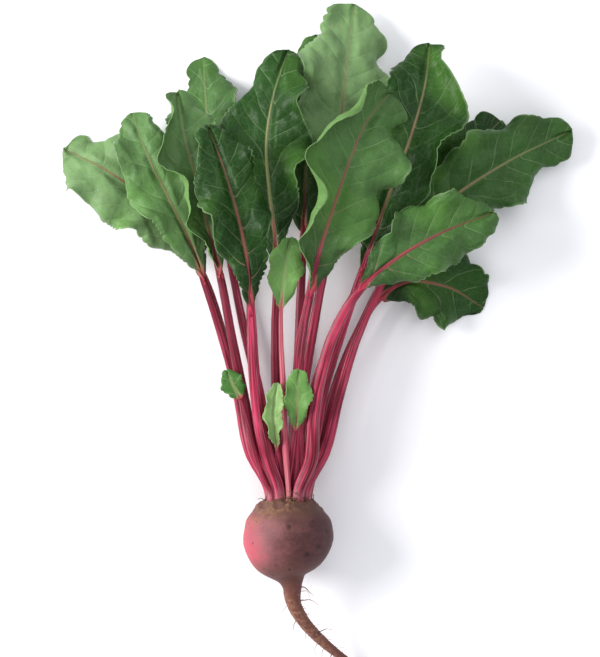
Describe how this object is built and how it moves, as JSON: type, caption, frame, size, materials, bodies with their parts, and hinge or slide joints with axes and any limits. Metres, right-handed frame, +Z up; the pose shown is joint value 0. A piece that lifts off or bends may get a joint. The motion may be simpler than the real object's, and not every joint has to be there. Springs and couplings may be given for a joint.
{
  "type": "beetroot with leaves",
  "caption": "Round purple beetroot lying on its side with a bent taproot, crimson leaf stalks and a fan of green wavy leaves.",
  "frame": {"origin": "middle of the small flat spot under the swollen root, on the surface that the beetroot lies on", "axes": "+Y from the root towards the leaf tips, +X to the right seen from above with the leaves up, +Z up"},
  "size_m": [0.3565, 0.4882, 0.0987],
  "materials": {
    "root_skin": "matt purple-brown skin, corky and tan round the crown",
    "stalk": "glossy crimson, finely ridged lengthwise",
    "leaf_green": "satin mid green, wavy, with a crimson midrib and pale side veins",
    "young_leaf_green": "satin pale yellow-green, crumpled"
  },
  "bodies": {
    "root": {"root": "root_skin", "stalk_front_left": "stalk", "blade_front_left": "leaf_green", "stalk_front_middle": "stalk", "blade_front_middle": "leaf_green", "stalk_front_right": "stalk", "blade_front_right": "leaf_green", "stalk_side_left": "stalk", "blade_side_left": "leaf_green", "stalk_middle_left": "stalk", "blade_middle_left": "leaf_green", "stalk_middle_top": "stalk", "blade_middle_top": "leaf_green", "stalk_middle_right": "stalk", "blade_middle_right": "leaf_green", "stalk_far_right": "stalk", "blade_far_right": "leaf_green", "stalk_far_left": "stalk", "blade_far_left": "leaf_green", "stalk_outer_left": "stalk", "blade_outer_left": "leaf_green", "stalk_low_left": "stalk", "blade_low_left": "leaf_green", "stalk_low_middle": "stalk", "blade_low_middle": "leaf_green", "stalk_low_right": "stalk", "blade_low_right": "leaf_green", "stalk_side_right": "stalk", "blade_side_right": "leaf_green", "stalk_young_middle": "stalk", "blade_young_middle": "young_leaf_green", "stalk_young_right": "stalk", "blade_young_right": "young_leaf_green", "stalk_young_left": "stalk", "blade_young_left": "young_leaf_green", "stalk_young_outer": "stalk", "blade_young_outer": "young_leaf_green"}
  },
  "joints": []
}
